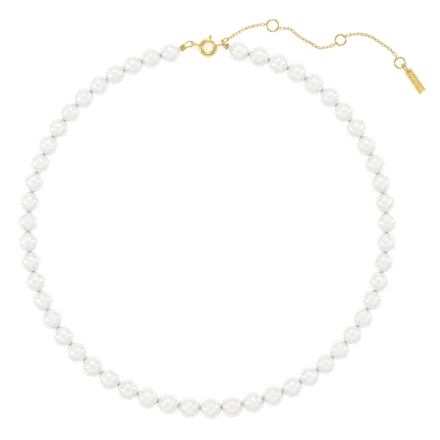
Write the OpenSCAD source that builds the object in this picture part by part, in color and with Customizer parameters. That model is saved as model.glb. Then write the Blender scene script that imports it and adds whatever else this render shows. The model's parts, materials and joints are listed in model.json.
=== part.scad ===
// Pearl necklace: a graded strand of drilled pearls on one thread, a bolt ring clasp and a chain extender.
// Millimetres. +Z is up and the table is z = 0. It lies flat, clasp towards +Y, extender towards +X.

/* [Strand] */
// radius of the circle that the string holes meet on
loop_radius = 53; // [52:0.1:60]
// length of the middle pearl along the string
front_pitch = 6.34; // [6.2:0.01:6.4]
// length of a back pearl on the left side
left_pitch = 5.82; // [5.7:0.01:5.9]
// length of a back pearl on the right side
right_pitch = 5.79; // [5.7:0.01:5.8]
// how quickly the left side falls from the front size to the back size
left_falloff = 2; // [1.5:0.1:3]
// how quickly the right side falls from the front size to the back size
right_falloff = 11; // [8:0.5:12]
// how much longer the right pearls get again towards the clasp
right_growth = 0.36; // [0.3:0.01:0.4]
// length of the last pearl on the right side
right_last_pitch = 5.95; // [5.9:0.01:6]
// turn of the middle pearl away from straight down
front_roll = 1.1; // [0.8:0.1:1.4]

/* [Pearl] */
// pearl width across the string, for each mm along it
width_ratio = 1.045; // [1.02:0.005:1.06]
// gap left between neighbouring pearls
pearl_gap = 0.08; // [0.06:0.01:0.12]
// diameter of the drilled hole
bore_d = 0.9; // [0.8:0.05:1]
// diameter of the stringing thread
thread_d = 0.4; // [0.3:0.02:0.4]

/* [Wrapped wire ends] */
// diameter of the gold wire of the wrapped ends
wrap_wire = 0.48; // [0.44:0.01:0.5]
// radius of the wraps, to the middle of the wire
wrap_r = 0.76; // [0.75:0.01:0.8]
// number of wraps on the left
left_turns = 3.1; // [2.1:0.5:3.1]
// number of wraps on the right
right_turns = 2.1; // [1.6:0.5:2.1]

/* [Clasp] */
// radius of the bolt ring, to the middle of its tube
clasp_r = 2.05; // [2.03:0.01:2.06]
// outside radius of the tube
tube_r = 0.7; // [0.69:0.01:0.71]
// inside radius of the tube
tube_hole_r = 0.48; // [0.47:0.01:0.5]
// radius of the sliding bolt
bolt_r = 0.4; // [0.36:0.01:0.4]
// wire diameter of the spring
spring_wire = 0.14; // [0.1:0.01:0.16]
// wire radius of the eye
eye_wire_r = 0.28; // [0.26:0.01:0.28]
// width of the knob
knob_d = 0.95; // [0.8:0.05:1]

/* [Extender] */
// distance that each chain link adds
link_pitch = 1.11; // [1.1:0.01:1.12]
// wire diameter of the chain
link_wire = 0.25; // [0.23:0.01:0.25]
// outside width of a link
link_width = 1.06; // [1.05:0.01:1.1]
// outside diameter of the first ring
first_ring_d = 4; // [3.9:0.05:4.05]
// outside diameter of the other two rings
other_ring_d = 3.65; // [3.6:0.05:3.7]
// wire diameter of the rings
ring_wire = 0.5; // [0.46:0.01:0.5]

/* [Tag] */
// length of the tag
tag_length = 8; // [7.5:0.1:8.4]
// width of the tag
tag_width = 2.35; // [2.2:0.05:2.4]
// thickness of the tag
tag_thick = 0.8; // [0.6:0.05:0.8]
// lean of the tag about its length
tag_lean = 20; // [10:1:24]

/* [Hidden] */
$fn = 40;
arm = 26;
pairs = arm / 2;
tiny = 0.01;

// middle of everything, seen from above
middle = [4.35, 2.92];

// ---------- strand layout: side is 1 on the right, -1 on the left; pearl 0 is the middle one ----------

function fade(k, power) = pow((1 + cos(180 * k / arm)) / 2, power);
function pitch(k, side) = side < 0
    ? left_pitch + (front_pitch - left_pitch) * fade(k, left_falloff)
    : k == arm ? right_last_pitch
    : right_pitch + (front_pitch - right_pitch) * fade(k, right_falloff) + right_growth * pow(k / arm, 2);
function half_angle(k, side) = asin(pitch(k, side) / 2 / loop_radius);
// angle from the middle pearl to the contact below pearl k, and to its centre
function contact_angle(k, side) = k == 1
    ? half_angle(0, side)
    : contact_angle(k - 1, side) + 2 * half_angle(k - 1, side);
function centre_angle(k, side) = k == 0 ? 0 : contact_angle(k, side) + half_angle(k, side);
function turned(angle, side) = front_roll - 90 + side * angle;
function pearl_width(k, side) = pitch(k, side) * width_ratio;
function on_circle(r, a, z) = [r * cos(a), r * sin(a), z];
function contact_point(k, side) = on_circle(
    loop_radius,
    turned(contact_angle(k, side), side),
    (pearl_width(k - 1, side) + pearl_width(min(k, arm), side)) / 4
);

// ---------- round wire along a path ----------

function unit(v) = v / norm(v);
function tangents(p) = [for (i = [0:len(p) - 1])
    unit(i == 0 ? p[1] - p[0]
        : i == len(p) - 1 ? p[i] - p[i - 1]
        : unit(p[i + 1] - p[i]) + unit(p[i] - p[i - 1]))];
function side_of(t) = unit(cross(t, abs(t.z) < 0.9 ? [0, 0, 1] : [1, 0, 0]));
function squared(n, t) = unit(n - (n * t) * t);
function carried(t) = [for (i = 0, n = side_of(t[0]); i < len(t);
    n = i + 1 < len(t) ? squared(n, t[i + 1]) : n, i = i + 1) n];

module wire_along(path, d, sides = 10) {
    t = tangents(path);
    n = carried(t);
    last = len(path) - 1;
    points = [for (i = [0:last]) for (j = [0:sides - 1])
        path[i] + d / 2 * (n[i] * cos(360 * j / sides) + cross(t[i], n[i]) * sin(360 * j / sides))];
    skin = [for (i = [0:last - 1]) for (j = [0:sides - 1]) for (half = [0, 1])
        let (a = i * sides + j, b = i * sides + (j + 1) % sides)
        half == 0 ? [b + sides, b, a] : [a + sides, b + sides, a]];
    start_cap = [for (j = [0:sides - 1]) j];
    end_cap = [for (j = [sides - 1:-1:0]) last * sides + j];
    polyhedron(points, concat(skin, [start_cap], [end_cap]));
}

// smooth curve through the given points, n steps between each two
function between(a, b, c, d, t) = 0.5 * (2 * b + (c - a) * t + (2 * a - 5 * b + 4 * c - d) * t * t
    + (3 * b - a - 3 * c + d) * t * t * t);
function smooth(p, n) = concat(
    [for (i = [0:len(p) - 2]) for (j = [0:n - 1])
        between(p[max(i - 1, 0)], p[i], p[i + 1], p[min(i + 2, len(p) - 1)], j / n)],
    [p[len(p) - 1]]
);

// ---------- pearls and thread ----------

module pearl(k, side) {
    along = pitch(k, side) - pearl_gap;
    width = pearl_width(k, side);
    a = turned(centre_angle(k, side), side);
    translate(on_circle(loop_radius * cos(half_angle(k, side)), a, width / 2))
        rotate([0, 90, a + 90])
            rotate_extrude($fn = 64)
                difference() {
                    translate([(width - along) / 2, 0]) circle(d = along, $fn = 64);
                    translate([bore_d / 2 - along, -along]) square([along, 2 * along]);
                }
}

module pearl_front() {
    color("ivory") pearl(0, 1);
}

module pearl_pair(n, side) {
    color("ivory")
        for (k = [2 * n - 1, 2 * n]) pearl(k, side);
}

// ---------- wrapped wire ends ----------
// Each end is a frame: a corner point where the wraps meet the loop, the way to the pearl, and a way across.

left_hole = contact_point(arm + 1, -1);
right_hole = contact_point(arm + 1, 1);
left_corner = [-6.42, 54.08, 2.55];
right_corner = [5.19, 54.43, 2.95];
// the wire's own stem and the thread lie side by side inside the wraps
stem_offset = 0.24;
thread_offset = 0.29;
wrap_start = 0.2;
wrap_step = wrap_wire + 0.1;
left_way = unit(left_hole + [0, 0.15, 0] - left_corner);
right_way = unit(right_hole + [-0.05, 0.1, 0] - right_corner);
function across(way) = unit(cross(way, [0, 0, 1]));

// wraps around the stem, from the loop towards the pearl
function wraps(corner, way, turns, first, turn_way) = [for (i = [0:floor(turns * 8)])
    let (a = first + turn_way * 45 * i, w = across(way))
    corner + way * (wrap_start + i / 8 * wrap_step)
        + wrap_r * (w * cos(a) + cross(w, way) * sin(a))];
function wrapped_length(turns) = wrap_start + turns * wrap_step;
function stem(corner, way, turns, side) = [for (s = [1, 0.5, 0.1])
    corner + way * wrapped_length(turns) * s - side * across(way) * stem_offset];
function thread_end(corner, way, turns, side) = [for (s = [1, 0.2])
    corner + way * wrapped_length(turns) * s + side * across(way) * thread_offset];

// left loop: an oval lying almost flat, its far end inside the clasp's eye
oval_end = [-4.14, 54.88, 1.23];
oval_way = unit(oval_end - left_corner);
oval_half = norm(oval_end - left_corner) / 2;
oval_side = across(left_way);
oval_half_width = 0.8;
oval_points = [for (a = [155:-31:-139])
    left_corner + oval_way * oval_half * (1 + 0.97 * cos(a))
        + squared(oval_side, oval_way) * oval_half_width * sign(a) * pow(abs(sin(a)), 0.7)];

module wire_end_left() {
    color("gold")
        wire_along(smooth(concat(
            stem(left_corner, left_way, left_turns, -1),
            oval_points,
            wraps(left_corner, left_way, left_turns, 180, 1)), 3), wrap_wire);
}

// right loop: a round eye standing on edge across the strand, with the wraps on its +X side
eye_centre = [4.72, 54.75, 2.05];
eye_r = 0.92;
function on_eye(a) = eye_centre + eye_r * [0, cos(a), sin(a)];

module wire_end_right() {
    color("gold")
        wire_along(smooth(concat(
            stem(right_corner, right_way, right_turns, 1),
            [for (a = [104:-32:-216]) on_eye(a)],
            wraps(right_corner, right_way, right_turns, 340, 1)), 3), wrap_wire);
}

module thread() {
    left_end = thread_end(left_corner, left_way, left_turns, -1);
    right_end = thread_end(right_corner, right_way, right_turns, 1);
    color("white")
        wire_along(concat(
            [left_end[1], left_end[0]],
            [for (k = [arm + 1:-1:1]) contact_point(k, -1)],
            [for (k = [1:arm + 1]) contact_point(k, 1)],
            right_end), thread_d, 8);
}

// ---------- clasp ----------

clasp_centre = [0.21, 53.48, 1.25];
mouth = [22, 68];
knob_angle = 78;
bolt_travel = 52;
bolt_tip_r = 0.2;
stop = [247, 253];
eye_angle = 166;
eye_reach = 3.99;
eye_length = 2.8;
eye_width = 2;

module arc_of(from, to) {
    rotate([0, 0, from])
        rotate_extrude(angle = to - from, $fn = 96)
            translate([clasp_r, 0]) children();
}

module clasp_ring() {
    color("gold")
        translate(clasp_centre) {
            difference() {
                arc_of(mouth[1], 360 + mouth[0])
                    difference() {
                        circle(tube_r, $fn = 32);
                        circle(tube_hole_r, $fn = 32);
                    }
                arc_of(mouth[1] - 5, mouth[1] + bolt_travel + 15)
                    translate([0.2, -0.31]) square([1, 0.62]);
            }
            arc_of(stop[0], stop[1]) circle((tube_r + tube_hole_r) / 2, $fn = 32);
            rotate([90, 0, eye_angle])
                translate([eye_reach, 0, 0]) oval_link(eye_length, eye_width, 2 * eye_wire_r);
        }
}

module clasp_bolt() {
    color("gold")
        translate(clasp_centre) {
            arc_of(29, 112) circle(bolt_r, $fn = 24);
            arc_of(17, 30) circle(bolt_tip_r, $fn = 24);
            rotate([0, 90, knob_angle]) {
                translate([0, 0, clasp_r]) cylinder(d = 0.42, h = 1);
                translate([0, 0, 2.83]) cylinder(d = knob_d, h = 0.7);
                translate([0, 0, 3.53]) cylinder(d1 = knob_d, d2 = knob_d - 0.3, h = 0.18);
            }
        }
}

module clasp_spring() {
    turns = 9;
    steps = 14;
    coil_r = 0.33;
    from = 114.5;
    to = 244.5;
    color("silver")
        translate(clasp_centre)
            wire_along([for (i = [0:turns * steps])
                let (a = from + (to - from) * i / turns / steps, b = 360 * i / steps)
                on_circle(clasp_r + coil_r * cos(b), a, coil_r * sin(b))], spring_wire, 6);
}

// the link that the clasp closes on: its open end faces the clasp, one prong over the tube and one under
hook_bend = [4.28, 54.4, 1.25];
hook_way = 7;
hook_half = 1.03;
hook_reach = 2.1;
hook_wire = 0.4;

module hook_link() {
    color("gold")
        translate(hook_bend)
            rotate([90, 0, hook_way]) {
                rotate([0, 0, -90])
                    rotate_extrude(angle = 180, $fn = 64)
                        translate([hook_half, 0]) circle(d = hook_wire, $fn = 24);
                for (y = [-1, 1])
                    translate([-hook_reach, y * hook_half, 0])
                        rotate([0, 90, 0]) cylinder(d = hook_wire, h = hook_reach, $fn = 24);
            }
}

// ---------- chain ----------

// an oval link lying along +X, middle at the origin
module oval_link(length, width, wire) {
    r = (width - wire) / 2;
    straight = length - width;
    for (end = [0, 1])
        rotate([0, 0, 180 * end])
            translate([straight / 2, 0, 0])
                rotate([0, 0, -90])
                    rotate_extrude(angle = 180, $fn = 32)
                        translate([r, 0]) circle(d = wire, $fn = 16);
    for (y = [-1, 1])
        translate([-straight / 2, y * r, 0])
            rotate([0, 90, 0]) cylinder(d = wire, h = straight, $fn = 16);
}

// a link from one point to another; roll 0 lies flat, 90 stands on edge
module link_between(a, b, length, width, wire, roll) {
    d = b - a;
    translate((a + b) / 2)
        rotate([0, -asin(d.z / norm(d)), atan2(d.y, d.x)])
            rotate([roll, 0, 0]) oval_link(length, width, wire);
}

chain_z = 0.56;
link_length = link_pitch + 2 * link_wire + 0.08;
// how far a ring's wire stands inside the end link, from the last contact of the chain
ring_step = 0.33;

function way(a) = [cos(a), sin(a), 0];
function link_step(i, headings, heights) =
    let (dz = lookup(i + 1, heights) - lookup(i, heights))
    [0, 0, dz] + sqrt(link_pitch * link_pitch - dz * dz) * way(lookup(i, headings));
function chain_points(start, count, headings, heights) = [for (i = 0, p = start; i <= count;
    p = p + link_step(i, headings, heights), i = i + 1) p];
function after(points) = points[len(points) - 1];

// height of the middle of the chain on the table, and where the last ring is held up by the tag's link
low_z = 0.45;
end_z = 0.73;
first_start = [6.05, 55.85, 2.3];
first_headings = [[0, 34], [2, 35], [4, 31], [7, 15], [11, 4]];
first_heights = [[0, 2.3], [1, 1.95], [2, 1.55], [3, 1.15], [4, 0.8], [5, 0.6], [6, low_z], [8, low_z],
    [10, chain_z], [12, chain_z]];
first_chain = chain_points(first_start, 12, first_headings, first_heights);

first_ring_in = -15;
first_ring_out = -28;
first_ring = after(first_chain)
    + ((first_ring_d - ring_wire) / 2) * way(first_ring_in) - ring_step * way(4);

second_headings = [[0, -2], [2, 1], [4, -44], [9, -25], [11, -38], [13, 1], [17, 33]];
second_heights = [[0, chain_z], [2, chain_z], [4, low_z], [14, low_z], [16, chain_z], [18, chain_z]];
second_chain = chain_points(first_ring + ((first_ring_d - ring_wire) / 2) * way(first_ring_out)
    - ring_step * way(-2), 18, second_headings, second_heights);

second_ring = after(second_chain) + ((other_ring_d - ring_wire) / 2 - ring_step) * way(38);

third_headings = [[0, 14], [1, 15], [6, -16], [8, -33], [12, -34], [16, -60]];
third_heights = [[0, chain_z], [2, chain_z], [4, low_z], [13, low_z], [16, end_z], [17, end_z]];
third_chain = chain_points(second_ring + ((other_ring_d - ring_wire) / 2) * way(43)
    - ring_step * way(14), 17, third_headings, third_heights);
third_ring = after(third_chain) + ((other_ring_d - ring_wire) / 2 - ring_step) * way(-58);

// Group n of a section of chain. Neighbouring links lie 90 degrees apart. Over the first three links they
// also turn by twist_in and over the last three by twist_out, because in the middle they lie at 45 degrees,
// left and right by turns, and at a ring the link stands on edge.
module links(points, n, groups, first_roll, twist_in, twist_out) {
    count = len(points) - 1;
    color("gold")
        for (i = [floor(count * (n - 1) / groups):floor(count * n / groups) - 1])
            link_between(points[i], points[i + 1], link_length, link_width, link_wire,
                first_roll + 90 * i + twist_in * min(1, i / 3) + twist_out * max(0, (i - count + 4) / 3));
}

// inside ends of the first link: round the eye's wire and round the first chain link
start_link_from = [4.36, 55.27, 2.72];
start_link_to = first_start + [0.03, 0.02, 0];
start_link_wire = 0.4;
start_link_width = 1.5;

module chain_start_link() {
    length = round((norm(start_link_to - start_link_from) + 2 * start_link_wire) * 100) / 100;
    color("gold")
        link_between(start_link_from, start_link_to, length, start_link_width, start_link_wire, 45);
}

module flat_ring(at, d) {
    color("gold")
        translate(at)
            rotate_extrude($fn = 72)
                translate([(d - ring_wire) / 2, 0]) circle(d = ring_wire, $fn = 24);
}

// ---------- tag ----------

tag_way = -55.3;
tag_hole = [59.5, 46.35, 0.97];
tag_link_start = third_ring + 0.75 * way(-40) + [0, 0, 0.28];
tag_hole_inset = 0.65;
tag_hole_r = 0.45;
tag_link_end = tag_hole + 0.1 * way(tag_way);

module tag_link() {
    wire = 0.44;
    length = round((norm(tag_link_end - tag_link_start) + wire) * 100) / 100;
    color("gold") link_between(tag_link_start, tag_link_end, length, 2.04, wire, 90 - tag_lean);
}

module tag() {
    edge = 0.14;
    border = 0.26;
    sink = 0.14;
    panel_start = 1.25;
    panel_length = tag_length - panel_start - border;
    panel_width = tag_width - 2 * border;
    marks = 9;
    mark_length = 0.42;
    mark_width = [0.2, 0.36];
    color("gold")
        translate(tag_hole)
            rotate([0, 0, tag_way])
                rotate([-tag_lean, 0, 0])
                    translate([-tag_hole_inset, 0, 0]) {
                        difference() {
                            rotate([90, 0, 90])
                                linear_extrude(height = tag_length)
                                    polygon([
                                        [-tag_width / 2 + edge, -tag_thick / 2],
                                        [tag_width / 2 - edge, -tag_thick / 2],
                                        [tag_width / 2, -tag_thick / 2 + edge],
                                        [tag_width / 2, tag_thick / 2 - edge],
                                        [tag_width / 2 - edge, tag_thick / 2],
                                        [-tag_width / 2 + edge, tag_thick / 2],
                                        [-tag_width / 2, tag_thick / 2 - edge],
                                        [-tag_width / 2, -tag_thick / 2 + edge]
                                    ]);
                            translate([tag_hole_inset, 0, -tag_thick])
                                cylinder(r = tag_hole_r, h = 2 * tag_thick);
                            translate([panel_start, -panel_width / 2, tag_thick / 2 - sink])
                                cube([panel_length, panel_width, 1]);
                        }
                        for (i = [0:marks - 1], row = [0, 1])
                            let (w = mark_width[(i + row) % 2])
                                translate([
                                    panel_start + (i + 0.5) * panel_length / marks - mark_length / 2,
                                    (row - 0.5) * panel_width / 2 - w / 2,
                                    tag_thick / 2 - sink - tiny
                                ])
                                    cube([mark_length, w, sink]);
                    }
}

// ---------- everything, moved to the middle ----------

translate([-middle.x, -middle.y, 0]) {
    pearl_front();
    for (n = [1:pairs]) {
        pearl_pair(n, -1);
        pearl_pair(n, 1);
    }
    thread();
    wire_end_left();
    wire_end_right();
    clasp_ring();
    clasp_bolt();
    clasp_spring();
    hook_link();
    chain_start_link();
    for (n = [1:4])
        links(first_chain, n, 4, -45, 0, 45);
    flat_ring(first_ring, first_ring_d);  // extender_ring_1
    for (n = [1:6])
        links(second_chain, n, 6, 90, 45, 45);
    flat_ring(second_ring, other_ring_d);  // extender_ring_2
    for (n = [1:5])
        links(third_chain, n, 5, 90, 45, -45);
    flat_ring(third_ring, other_ring_d);  // extender_ring_3
    tag_link();
    tag();
}
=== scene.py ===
"""Looks for the pearl necklace, around the fixed frame.

The pearls, thread and oval links are drawn anew, finer than the frame has them, and the wrapped wire ends and
the spring are rounded. The clasp, hook link, rings and tag stay as they are and get the finish of real ones.
"""

import json
import math

import bmesh
import bpy
import numpy as np
from mathutils import Matrix, Vector, noise


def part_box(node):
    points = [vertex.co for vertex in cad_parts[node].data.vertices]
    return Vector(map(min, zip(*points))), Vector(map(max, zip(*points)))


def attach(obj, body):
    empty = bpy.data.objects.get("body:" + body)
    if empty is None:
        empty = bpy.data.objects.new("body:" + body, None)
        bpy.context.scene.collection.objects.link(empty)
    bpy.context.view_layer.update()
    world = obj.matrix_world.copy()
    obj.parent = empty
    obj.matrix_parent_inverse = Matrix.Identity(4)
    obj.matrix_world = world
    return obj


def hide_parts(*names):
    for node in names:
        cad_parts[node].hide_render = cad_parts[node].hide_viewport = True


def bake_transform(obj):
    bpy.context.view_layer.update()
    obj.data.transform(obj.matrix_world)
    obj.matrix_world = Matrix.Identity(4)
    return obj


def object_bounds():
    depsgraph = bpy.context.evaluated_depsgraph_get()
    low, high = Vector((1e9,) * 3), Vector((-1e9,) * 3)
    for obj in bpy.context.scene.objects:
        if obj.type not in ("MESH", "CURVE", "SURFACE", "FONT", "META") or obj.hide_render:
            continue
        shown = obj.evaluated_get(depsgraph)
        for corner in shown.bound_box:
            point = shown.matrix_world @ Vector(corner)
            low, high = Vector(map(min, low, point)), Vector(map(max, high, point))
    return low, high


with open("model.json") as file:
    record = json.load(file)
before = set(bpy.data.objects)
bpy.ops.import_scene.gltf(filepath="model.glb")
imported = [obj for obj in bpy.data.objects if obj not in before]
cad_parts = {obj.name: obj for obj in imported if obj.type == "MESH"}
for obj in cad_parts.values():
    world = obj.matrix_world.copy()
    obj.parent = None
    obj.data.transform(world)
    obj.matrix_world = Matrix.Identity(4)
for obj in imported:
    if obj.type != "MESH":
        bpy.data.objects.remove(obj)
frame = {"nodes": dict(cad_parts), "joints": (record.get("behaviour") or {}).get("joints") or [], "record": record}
cad_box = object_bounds()
record = frame["record"]
nodes = frame["nodes"]
joints = {j["name"]: j for j in frame["joints"]}
body_of_node = {n: b for b, members in record["behaviour"]["bodies"].items() for n in members}

MM = 0.001
# vertices closer than this are one
WELD = 0.0005 * MM
# pairs of pearls on each side of the front one
PAIRS = 13
# hole of a pearl and the rounding of its rim
BORE_R = 0.45 * MM
RIM_R = 0.14 * MM
# how much longer a pearl is than in the frame, so that it nearly touches the next
PEARL_GROWTH = 0.06 * MM
# strength of a pearl's unevenness, as a share of its radius
UNEVENNESS = 0.004
# size of its dents, and a length that gives each pearl dents of its own
DENT_SIZE = 4 * MM
DENT_SHIFT = 7 * MM
THREAD_R = 0.19 * MM
# length of thread in which its plies turn once
PLY_TURN = 1.2 * MM
# how far the thread's ends reach past the last joint, into the wraps
END_REACH = 1.2 * MM
# how many times thicker a link's wire is at its soldered seam
SEAM_SWELL = 1.02
LINK_SIDES = 14
# wires that the frame holds as tubes of a few sides
END_WIRE_R = 0.24 * MM
END_WIRE_SIDES = 10
SPRING_WIRE_R = 0.07 * MM
SPRING_WIRE_SIDES = 6

low, high = (Vector(corner) for corner in cad_box)
middle = (low + high) / 2
neck = record["physics"]["openings"][0]["box_m"]
loop_centre = Vector([(a + b) / 2 for a, b in zip(*neck)])


# ---------- meshes ----------


def welded(node):
    """The mesh of a CAD node with its seams closed, as a new bmesh."""
    bm = bmesh.new()
    bm.from_mesh(nodes[node].data)
    bmesh.ops.remove_doubles(bm, verts=bm.verts, dist=WELD)
    return bm


def solids(node):
    """Vertex positions of each separate solid of a CAD node, as arrays."""
    bm = welded(node)
    seen, found = set(), []
    for start in bm.verts:
        if start in seen:
            continue
        group, todo = [], [start]
        seen.add(start)
        while todo:
            v = todo.pop()
            group.append(v.co.copy())
            for e in v.link_edges:
                other = e.other_vert(v)
                if other not in seen:
                    seen.add(other)
                    todo.append(other)
        found.append(np.array(group))
    bm.free()
    return found


def add_piece(name, bm, material, body, replaced=(), levels=0):
    """Makes a smooth shaded object from bm, in the row frame, and puts it on its body."""
    bmesh.ops.recalc_face_normals(bm, faces=bm.faces)
    mesh = bpy.data.meshes.new(name)
    bm.to_mesh(mesh)
    bm.free()
    mesh.shade_smooth()
    piece = bpy.data.objects.new(name, mesh)
    bpy.context.scene.collection.objects.link(piece)
    if levels:
        subdivision = piece.modifiers.new("smooth", "SUBSURF")
        subdivision.levels = subdivision.render_levels = levels
    mesh.materials.append(material)
    if body:
        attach(piece, body)
    if replaced:
        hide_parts(*replaced)
    return piece


def ring_faces(bm, rows, closed_along=False):
    """Quads between neighbouring rings of vertices."""
    count = len(rows)
    for i in range(count if closed_along else count - 1):
        a, b = rows[i], rows[(i + 1) % count]
        for j in range(len(a)):
            k = (j + 1) % len(a)
            bm.faces.new((a[j], a[k], b[k], b[j]))


def frames_along(points, closed=False):
    """Two cross directions at each point of a path, carried along without twist."""
    count = len(points)
    directions = []
    for i in range(count):
        before = points[(i - 1) % count] if closed or i else points[0]
        after = points[(i + 1) % count] if closed or i < count - 1 else points[-1]
        directions.append((after - before).normalized())
    side = directions[0].orthogonal().normalized()
    found = []
    for d in directions:
        side = (side - d * side.dot(d)).normalized()
        found.append((side, d.cross(side)))
    return found


def tube(bm, points, radius, sides, closed=False, section=None):
    """A round wire along the points. section(i, angle) scales its radius at point i."""
    rows = []
    for i, (p, (u, v)) in enumerate(zip(points, frames_along(points, closed))):
        row = []
        for j in range(sides):
            a = 2 * math.pi * j / sides
            r = radius * (section(i, a) if section else 1)
            row.append(bm.verts.new(p + u * (r * math.cos(a)) + v * (r * math.sin(a))))
        rows.append(row)
    ring_faces(bm, rows, closed_along=closed)
    if not closed:
        bm.faces.new(rows[0][::-1])
        bm.faces.new(rows[-1])


# ---------- materials ----------


def new_material(name):
    """A material with its node tree, its shader and the object's own coordinates."""
    material = bpy.data.materials.new(name)
    material.use_nodes = True
    tree = material.node_tree
    shader = tree.nodes["Principled BSDF"]
    place = tree.nodes.new("ShaderNodeTexCoord")
    return material, tree, shader, place.outputs["Object"]


def add_noise(tree, place, scale_mm, detail=2.0, distortion=0.0):
    """Noise with grains about scale_mm across."""
    texture = tree.nodes.new("ShaderNodeTexNoise")
    texture.inputs["Scale"].default_value = 1 / (scale_mm * MM)
    texture.inputs["Detail"].default_value = detail
    texture.inputs["Distortion"].default_value = distortion
    tree.links.new(place, texture.inputs["Vector"])
    return texture.outputs["Fac"]


def add_ramp(tree, fac, stops):
    """A colour for each value of fac, from (position, colour) stops."""
    ramp = tree.nodes.new("ShaderNodeValToRGB")
    points = ramp.color_ramp.elements
    while len(points) < len(stops):
        points.new(0.5)
    for point, (position, colour) in zip(points, stops):
        point.position = position
        point.color = (*colour, 1)
    tree.links.new(fac, ramp.inputs["Fac"])
    return ramp.outputs["Color"]


def add_range(tree, fac, low_value, high_value):
    """Noise fac, which stays near its middle, spread over a range of values."""
    spread = tree.nodes.new("ShaderNodeMapRange")
    spread.inputs["From Min"].default_value = 0.3
    spread.inputs["From Max"].default_value = 0.7
    spread.inputs["To Min"].default_value = low_value
    spread.inputs["To Max"].default_value = high_value
    tree.links.new(fac, spread.inputs["Value"])
    return spread.outputs["Result"]


def add_bump(tree, shader, height, distance_mm, strength=1.0):
    """Fine relief, distance_mm deep where height runs from 0 to 1."""
    bump = tree.nodes.new("ShaderNodeBump")
    bump.inputs["Distance"].default_value = distance_mm * MM
    bump.inputs["Strength"].default_value = strength
    tree.links.new(height, bump.inputs["Height"])
    tree.links.new(bump.outputs["Normal"], shader.inputs["Normal"])


def pearl_material():
    """Nacre: warm white with faint rose and green clouds, a soft gloss and a glassy top layer."""
    material, tree, shader, place = new_material("nacre")
    clouds = add_noise(tree, place, 3.5, 2.0, 0.4)
    colour = add_ramp(tree, clouds, [
        (0.30, (0.965, 0.93, 0.91)),
        (0.45, (0.96, 0.945, 0.92)),
        (0.55, (0.945, 0.945, 0.925)),
        (0.70, (0.97, 0.94, 0.93)),
    ])
    tree.links.new(colour, shader.inputs["Base Color"])
    tree.links.new(add_range(tree, add_noise(tree, place, 1.4), 0.18, 0.26), shader.inputs["Roughness"])
    add_bump(tree, shader, add_noise(tree, place, 1.1, 2.0), 0.010, 0.3)
    shader.inputs["IOR"].default_value = 1.55
    shader.inputs["Coat Weight"].default_value = 1.0
    shader.inputs["Coat Roughness"].default_value = 0.06
    shader.inputs["Coat IOR"].default_value = 1.55
    shader.inputs["Subsurface Weight"].default_value = 0.5
    shader.inputs["Subsurface Radius"].default_value = (1.0, 0.8, 0.6)
    shader.inputs["Subsurface Scale"].default_value = 3 * MM
    return material


def gold_material(name, roughness, grain_mm, depth_mm, shine=1.0):
    """Light yellow gold plate with the faint waviness of handled wire. shine scales its colour."""
    material, tree, shader, place = new_material(name)
    clouds = add_noise(tree, place, 1.2, 2.0)
    colour = add_ramp(tree, clouds, [
        (0.35, (0.70 * shine, 0.53 * shine, 0.175 * shine)),
        (0.65, (0.79 * shine, 0.63 * shine, 0.25 * shine)),
    ])
    tree.links.new(colour, shader.inputs["Base Color"])
    shader.inputs["Metallic"].default_value = 1.0
    spread = add_range(tree, add_noise(tree, place, 0.5, 3.0), roughness * 0.75, roughness * 1.3)
    tree.links.new(spread, shader.inputs["Roughness"])
    add_bump(tree, shader, add_noise(tree, place, grain_mm, 3.0), depth_mm, 0.6)
    return material


def thread_material():
    """Cream silk with a fine ply."""
    material, tree, shader, place = new_material("silk")
    fibres = add_noise(tree, place, 0.08, 3.0)
    colour = add_ramp(tree, fibres, [(0.3, (0.78, 0.74, 0.65)), (0.7, (0.90, 0.87, 0.80))])
    tree.links.new(colour, shader.inputs["Base Color"])
    tree.links.new(add_range(tree, fibres, 0.6, 0.8), shader.inputs["Roughness"])
    shader.inputs["Sheen Weight"].default_value = 0.3
    add_bump(tree, shader, fibres, 0.02)
    return material


def steel_material():
    """Bright drawn spring wire."""
    material, tree, shader, place = new_material("spring_steel")
    streaks = add_noise(tree, place, 0.15, 3.0)
    colour = add_ramp(tree, streaks, [(0.3, (0.52, 0.52, 0.51)), (0.7, (0.70, 0.70, 0.69))])
    tree.links.new(colour, shader.inputs["Base Color"])
    shader.inputs["Metallic"].default_value = 1.0
    tree.links.new(add_range(tree, streaks, 0.2, 0.32), shader.inputs["Roughness"])
    add_bump(tree, shader, streaks, 0.004)
    return material


nacre = pearl_material()
gold_wire = gold_material("gold_wire", 0.17, 0.5, 0.012)
gold_clasp = gold_material("gold_clasp", 0.22, 0.9, 0.015, 1.25)
gold_tag = gold_material("gold_tag", 0.24, 0.35, 0.012, 1.05)
silk = thread_material()
steel = steel_material()


# ---------- pearls ----------


def pearl_outline(length, width):
    """Outline of a drilled pearl as (along, out) points, over the outside and back through the hole."""
    arc_steps, rim_steps, bore_steps = 36, 4, 6
    rim_depth = RIM_R * 0.8
    profile_r = length / 2
    offset = (width - length) / 2
    edge = math.asin((BORE_R + RIM_R - offset) / profile_r)
    outline = []
    for i in range(arc_steps + 1):
        t = edge + (math.pi - 2 * edge) * i / arc_steps
        outline.append((profile_r * math.cos(t), offset + profile_r * math.sin(t)))
    last = outline[-1][0]
    for i in range(1, rim_steps + 1):
        a = math.pi / 2 * i / rim_steps
        outline.append((last + rim_depth * (1 - math.cos(a)), BORE_R + RIM_R * (1 - math.sin(a))))
    inner = outline[-1][0]
    for i in range(1, bore_steps):
        outline.append((inner * (1 - 2 * i / bore_steps), BORE_R))
    for along, out in reversed(outline[arc_steps + 1:arc_steps + rim_steps]):
        outline.append((-along, out))
    return outline


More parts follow.
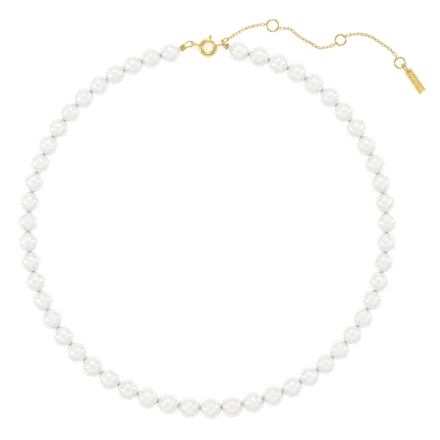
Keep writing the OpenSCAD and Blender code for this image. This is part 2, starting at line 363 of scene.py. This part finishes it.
def make_pearl(name, points, body, replaced, last=False):
    """A pearl where the CAD solid is, very slightly out of round; its centre is returned.

    The last one on each side isn't lengthened, because it meets the wrapped wire.
    """
    lowest, highest = Vector(points.min(0)), Vector(points.max(0))
    centre = (lowest + highest) / 2
    outwards = centre - loop_centre
    outwards.z = 0
    outwards.normalize()
    along = Vector((-outwards.y, outwards.x, 0))
    width = highest.z - lowest.z
    reach = (points - np.array(centre)) @ np.array(along)
    length = reach.max() - reach.min() + (0 if last else PEARL_GROWTH)
    up = Vector((0, 0, 1))
    bm = bmesh.new()
    around = 56
    rows = []
    for s, r in pearl_outline(length, width):
        row = []
        for j in range(around):
            a = 2 * math.pi * j / around
            spot = along * s + (outwards * math.cos(a) + up * math.sin(a)) * r
            if r > BORE_R + RIM_R:
                spot *= 1 + UNEVENNESS * (noise.noise(spot / DENT_SIZE + centre / DENT_SHIFT) - 0.5)
            row.append(bm.verts.new(centre + spot))
        rows.append(row)
    ring_faces(bm, rows, closed_along=True)
    add_piece(name, bm, nacre, body, replaced)
    return centre


pearl_centres = {}
front_centre = make_pearl("pearl_front_0", solids("pearl_front")[0], "front", ["pearl_front"])
pearl_centres["front"] = [front_centre]
for side in ("left", "right"):
    previous = front_centre
    for n in range(1, PAIRS + 1):
        node = f"pearls_{side}_{n}"
        pair = sorted(solids(node), key=lambda p: (Vector(p.mean(0)) - previous).length)
        body = body_of_node[node]
        pearl_centres[body] = []
        for k, points in enumerate(pair):
            number = 2 * n - 1 + k
            centre = make_pearl(f"pearl_{side}_{number}", points, body, [node], number == 2 * PAIRS)
            pearl_centres[body].append(centre)
        previous = pearl_centres[body][-1]


# ---------- swept wires, rounded from the frame's own shape ----------


def make_refined(name, node, material, levels, wire_r, sides, fill, rides=True):
    """The CAD node's own swept wire, rounded by subdivision.

    It is swollen first, by the share fill of what that takes away: all would keep the radius, less leaves it
    clear of its neighbours.
    """
    bm = welded(node)
    bmesh.ops.recalc_face_normals(bm, faces=bm.faces)
    swell = fill * wire_r * (3 / (2 + math.cos(2 * math.pi / sides)) - 1)
    for v, normal in [(v, v.normal.copy()) for v in bm.verts]:
        v.co += normal * swell
    bmesh.ops.join_triangles(
        bm, faces=bm.faces, angle_face_threshold=math.radians(40), angle_shape_threshold=math.radians(60))
    return add_piece(name, bm, material, body_of_node[node] if rides else None, [node], levels)


for side in ("left", "right"):
    name, node = f"wrapped_end_{side}", f"wire_end_{side}"
    make_refined(name, node, gold_wire, 2, END_WIRE_R, END_WIRE_SIDES, fill=0.1)


def make_spring():
    """The clasp's spring where the frame has it, rounded, with the rounding applied to its mesh."""
    spring = make_refined(
        "bolt_spring", "clasp_spring", steel, 1, SPRING_WIRE_R, SPRING_WIRE_SIDES,
        fill=0.9, rides=False)
    evaluated = spring.evaluated_get(bpy.context.evaluated_depsgraph_get())
    spring.data = bpy.data.meshes.new_from_object(evaluated)
    spring.modifiers.clear()
    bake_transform(spring)


make_spring()


# ---------- links ----------


def axes_of(points):
    """Centre and long, wide and thin axes of a flat oval solid, with its three sizes."""
    _, _, rows = np.linalg.svd(points - points.mean(0), full_matrices=False)
    axes = [Vector(r).normalized() for r in rows]
    spans = [(points @ np.array(a)) for a in axes]
    centre = sum((a * ((s.max() + s.min()) / 2) for a, s in zip(axes, spans)), Vector())
    sizes = [s.max() - s.min() for s in spans]
    return centre, axes, sizes


def oval_path(length, width, steps=12):
    """Centre line of an oval link lying along X."""
    r = width / 2
    straight = max(length - width, 0) / 2
    path = []
    for end in (1, -1):
        for i in range(steps + 1):
            a = math.pi * i / steps - math.pi / 2
            path.append(Vector((end * (straight + r * math.cos(a)), end * r * math.sin(a), 0)))
    return path


def make_link(name, points, body, replaced, steps=10):
    """An oval wire link with a faint swelling on one side, where its ends are soldered."""
    centre, axes, (length, width, wire) = axes_of(points)
    place = Matrix(axes).transposed()
    path = [centre + place @ p for p in oval_path(length - wire, width - wire, steps)]
    bm = bmesh.new()
    seam = steps

    def section(i, _):
        return SEAM_SWELL if i == seam else 1.0

    tube(bm, path, wire / 2, LINK_SIDES, closed=True, section=section)
    add_piece(name, bm, gold_wire, body, replaced, 1)


for node in sorted(nodes):
    if node.startswith("chain_") and node != "chain_start_link":
        for k, points in enumerate(solids(node)):
            make_link(f"{node}_link_{k + 1}", points, body_of_node[node], [node])
make_link("start_link", solids("chain_start_link")[0], "chain_start", ["chain_start_link"], steps=16)
make_link("tag_jump_link", solids("tag_link")[0], "tag_ring", ["tag_link"], steps=16)


# ---------- thread ----------


def contacts():
    """For each side, the points that the thread passes through, from the front pearl to the wrapped end.

    They are the joints and, between two joints, the middle of each pair.
    """
    route = []
    for side in ("left", "right"):
        arm = []
        for n in range(1, PAIRS + 1):
            joint = joints[f"strand_{side}_{n}_bend"]
            first, second = pearl_centres[f"strand_{side}_{n}"]
            arm.append(Vector(joint["pos_m"]))
            arm.append((first + second) / 2)
        arm.append(Vector(joints[f"{side}_end_swing"]["pos_m"]))
        route.append(arm)
    return route


def make_thread(name, start, at, end):
    """A short length of twisted thread from start to end, with a kink at at, the joint where two bodies meet."""
    bm = bmesh.new()
    steps, sides = 16, 18
    plies, ply_depth = 3, 0.1
    path = []
    for p, q in ((start, at), (at, end)):
        path += [p.lerp(q, i / steps) for i in range(steps)]
    path.append(end)
    turn = (path[1] - path[0]).length / PLY_TURN * 2 * math.pi

    def section(i, angle):
        return 1 - ply_depth + ply_depth * math.cos(plies * (angle - i * turn))

    tube(bm, path, THREAD_R, sides, section=section)
    piece = add_piece(name, bm, silk, None, ["thread"])
    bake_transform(piece)


for side, arm in zip(("left", "right"), contacts()):
    inner = pearl_centres["front"][0]
    inner_body = "front"
    for n in range(1, PAIRS + 1):
        body = f"strand_{side}_{n}"
        at, within = arm[2 * n - 2], arm[2 * n - 1]
        make_thread(f"thread_{side}_{n}", inner, at, within)
        inner, inner_body = within, body
    wire_low, wire_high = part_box(f"wire_end_{side}")
    coil = (wire_low + wire_high) / 2
    at = arm[-1]
    tip = at + (coil - at).normalized() * END_REACH
    make_thread(f"thread_{side}_end", inner, at, tip)


# ---------- parts that stay as the frame has them, with the finish of the real ones ----------


def finish_node(node, material):
    """Gives a node of the frame its material and smooth shading."""
    mesh = nodes[node].data
    mesh.materials.clear()
    mesh.materials.append(material)
    mesh.shade_smooth()


def soften_edges(node, width):
    """Rounds the sharp edges of a node a little, as tumbling does."""
    weld = nodes[node].modifiers.new("weld", "WELD")
    weld.merge_threshold = WELD
    bevel = nodes[node].modifiers.new("soft_edges", "BEVEL")
    bevel.width = width
    bevel.segments = 2
    bevel.limit_method = "ANGLE"
    bevel.angle_limit = math.radians(25)
    bevel.harden_normals = True


for node in ("clasp_ring", "clasp_bolt"):
    finish_node(node, gold_clasp)
for node in ("hook_link", "extender_ring_1", "extender_ring_2", "extender_ring_3"):
    finish_node(node, gold_wire)
finish_node("tag", gold_tag)
soften_edges("tag", 0.04 * MM)


# ---------- floor, light and camera ----------

# width that the camera sees at the height of the pearls' middles
VIEW_WIDTH = 0.1297
PEARL_MIDDLE = 3 * MM
LENS = 200.0
SENSOR = 36.0
# how far the camera stands from straight over the middle
EYE_SHIFT_X = -0.61 * MM
EYE_SHIFT_Y = -0.37 * MM
# the floor stays this much under the necklace
FLOOR_GAP = 0.02 * MM
FLOOR_REACH = 1.5
LAMP_DISTANCE = 0.6


def add_floor():
    """White paper, also lit from below as on a light table, so that it comes out white."""
    bm = bmesh.new()
    bmesh.ops.create_grid(bm, x_segments=1, y_segments=1, size=FLOOR_REACH)
    mesh = bpy.data.meshes.new("floor")
    bm.to_mesh(mesh)
    bm.free()
    floor = bpy.data.objects.new("floor", mesh)
    floor.location = (middle.x, middle.y, low.z - FLOOR_GAP)
    bpy.context.scene.collection.objects.link(floor)
    material, tree, shader, place = new_material("paper")
    shade = add_ramp(tree, add_noise(tree, place, 40), [(0, (0.44, 0.44, 0.44)), (1, (0.46, 0.46, 0.46))])
    tree.links.new(shade, shader.inputs["Base Color"])
    shader.inputs["Roughness"].default_value = 0.9
    shader.inputs["Specular IOR Level"].default_value = 0.1
    shader.inputs["Emission Color"].default_value = (1, 1, 1, 1)
    shader.inputs["Emission Strength"].default_value = 0.66
    mesh.materials.append(material)


def add_softbox(name, turn, tilt, size, strength):
    """A softbox aimed at the object.

    turn is clockwise from +Y and tilt is down from straight up, in degrees; size is in metres, and strength
    is the lamp's power for each square metre.
    """
    a, t = math.radians(turn), math.radians(tilt)
    way = Vector((math.sin(a) * math.sin(t), math.cos(a) * math.sin(t), math.cos(t)))
    light = bpy.data.lights.new(name, "AREA")
    light.shape = "RECTANGLE"
    light.size, light.size_y = size
    light.energy = strength * size[0] * size[1]
    lamp = bpy.data.objects.new(name, light)
    lamp.location = middle + way * LAMP_DISTANCE
    lamp.rotation_mode = "QUATERNION"
    lamp.rotation_quaternion = way.to_track_quat("Z", "Y")
    bpy.context.scene.collection.objects.link(lamp)


def add_world():
    """A light tent: bright above, greyer towards the table, with a dark opening straight overhead."""
    world = bpy.data.worlds.new("studio")
    bpy.context.scene.world = world
    world.use_nodes = True
    tree = world.node_tree
    way = tree.nodes.new("ShaderNodeTexCoord").outputs["Generated"]
    split = tree.nodes.new("ShaderNodeSeparateXYZ")
    tree.links.new(way, split.inputs["Vector"])
    tent = add_ramp(tree, split.outputs["Z"], [
        (0.00, (0.16, 0.16, 0.155)),
        (0.30, (0.26, 0.26, 0.255)),
        (0.60, (1.00, 0.995, 0.98)),
        (0.92, (1.00, 0.995, 0.98)),
        (0.955, (0.05, 0.05, 0.05)),
    ])
    tree.links.new(tent, tree.nodes["Background"].inputs["Color"])
    tree.nodes["Background"].inputs["Strength"].default_value = 1.06


def add_camera():
    """A long lens that looks straight down, from nearly over the middle of the necklace."""
    camera = bpy.data.cameras.new("camera")
    camera.lens = LENS
    camera.sensor_width = SENSOR
    camera.clip_start, camera.clip_end = 0.05, 10
    eye = bpy.data.objects.new("camera", camera)
    height = PEARL_MIDDLE + VIEW_WIDTH * LENS / SENSOR
    eye.location = (middle.x + EYE_SHIFT_X, middle.y + EYE_SHIFT_Y, height)
    bpy.context.scene.collection.objects.link(eye)
    bpy.context.scene.camera = eye


add_floor()
add_world()
add_softbox("top_back", 0, 44, (0.14, 0.12), 18)
add_softbox("right", 76, 70, (0.14, 0.18), 16)
add_softbox("left", -97, 63, (0.14, 0.20), 16)
add_softbox("back", -6, 80, (0.12, 0.09), 7)
add_softbox("front", 176, 66, (0.60, 0.34), 0.8)
add_camera()
bpy.context.scene.view_settings.view_transform = "Standard"
